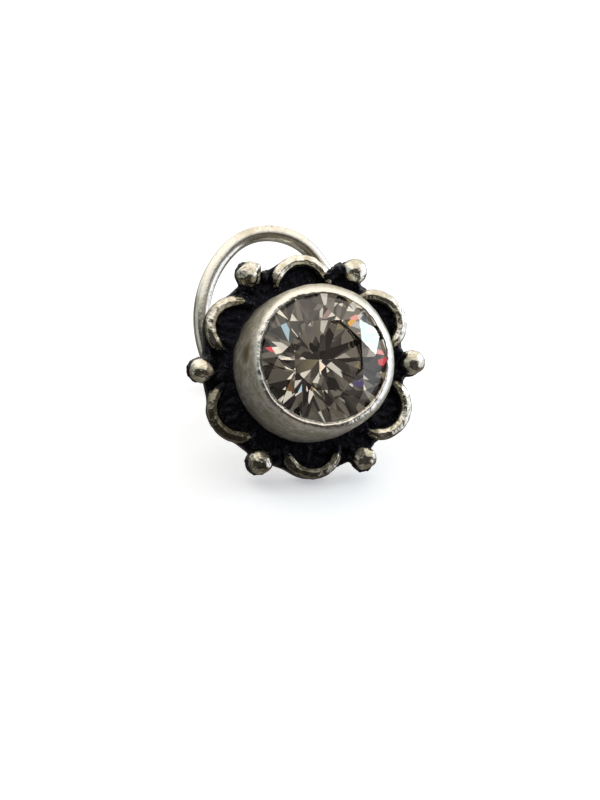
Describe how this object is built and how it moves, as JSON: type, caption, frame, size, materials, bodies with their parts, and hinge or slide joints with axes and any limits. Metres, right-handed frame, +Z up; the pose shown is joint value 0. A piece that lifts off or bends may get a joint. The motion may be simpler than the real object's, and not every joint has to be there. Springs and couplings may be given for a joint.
{
  "type": "flower nose stud",
  "caption": "Flower-headed nose stud in blackened silver: clear round brilliant in a tall bezel, wire petals and granules, with a plain post bent into an open loop.",
  "frame": {"origin": "middle of the bounding box at the table it lies on", "axes": "+Z up from the table, -Y the side that the flower head faces, +Y towards the loop behind it"},
  "size_m": [0.0102, 0.0132, 0.0082],
  "materials": {
    "blackened_silver": "sterling silver, blackened in the recesses and polished on the high spots",
    "clear_zirconia": "colourless cubic zirconia, polished facets"
  },
  "bodies": {
    "root": {"setting": "blackened_silver", "stone": "clear_zirconia"}
  },
  "joints": []
}
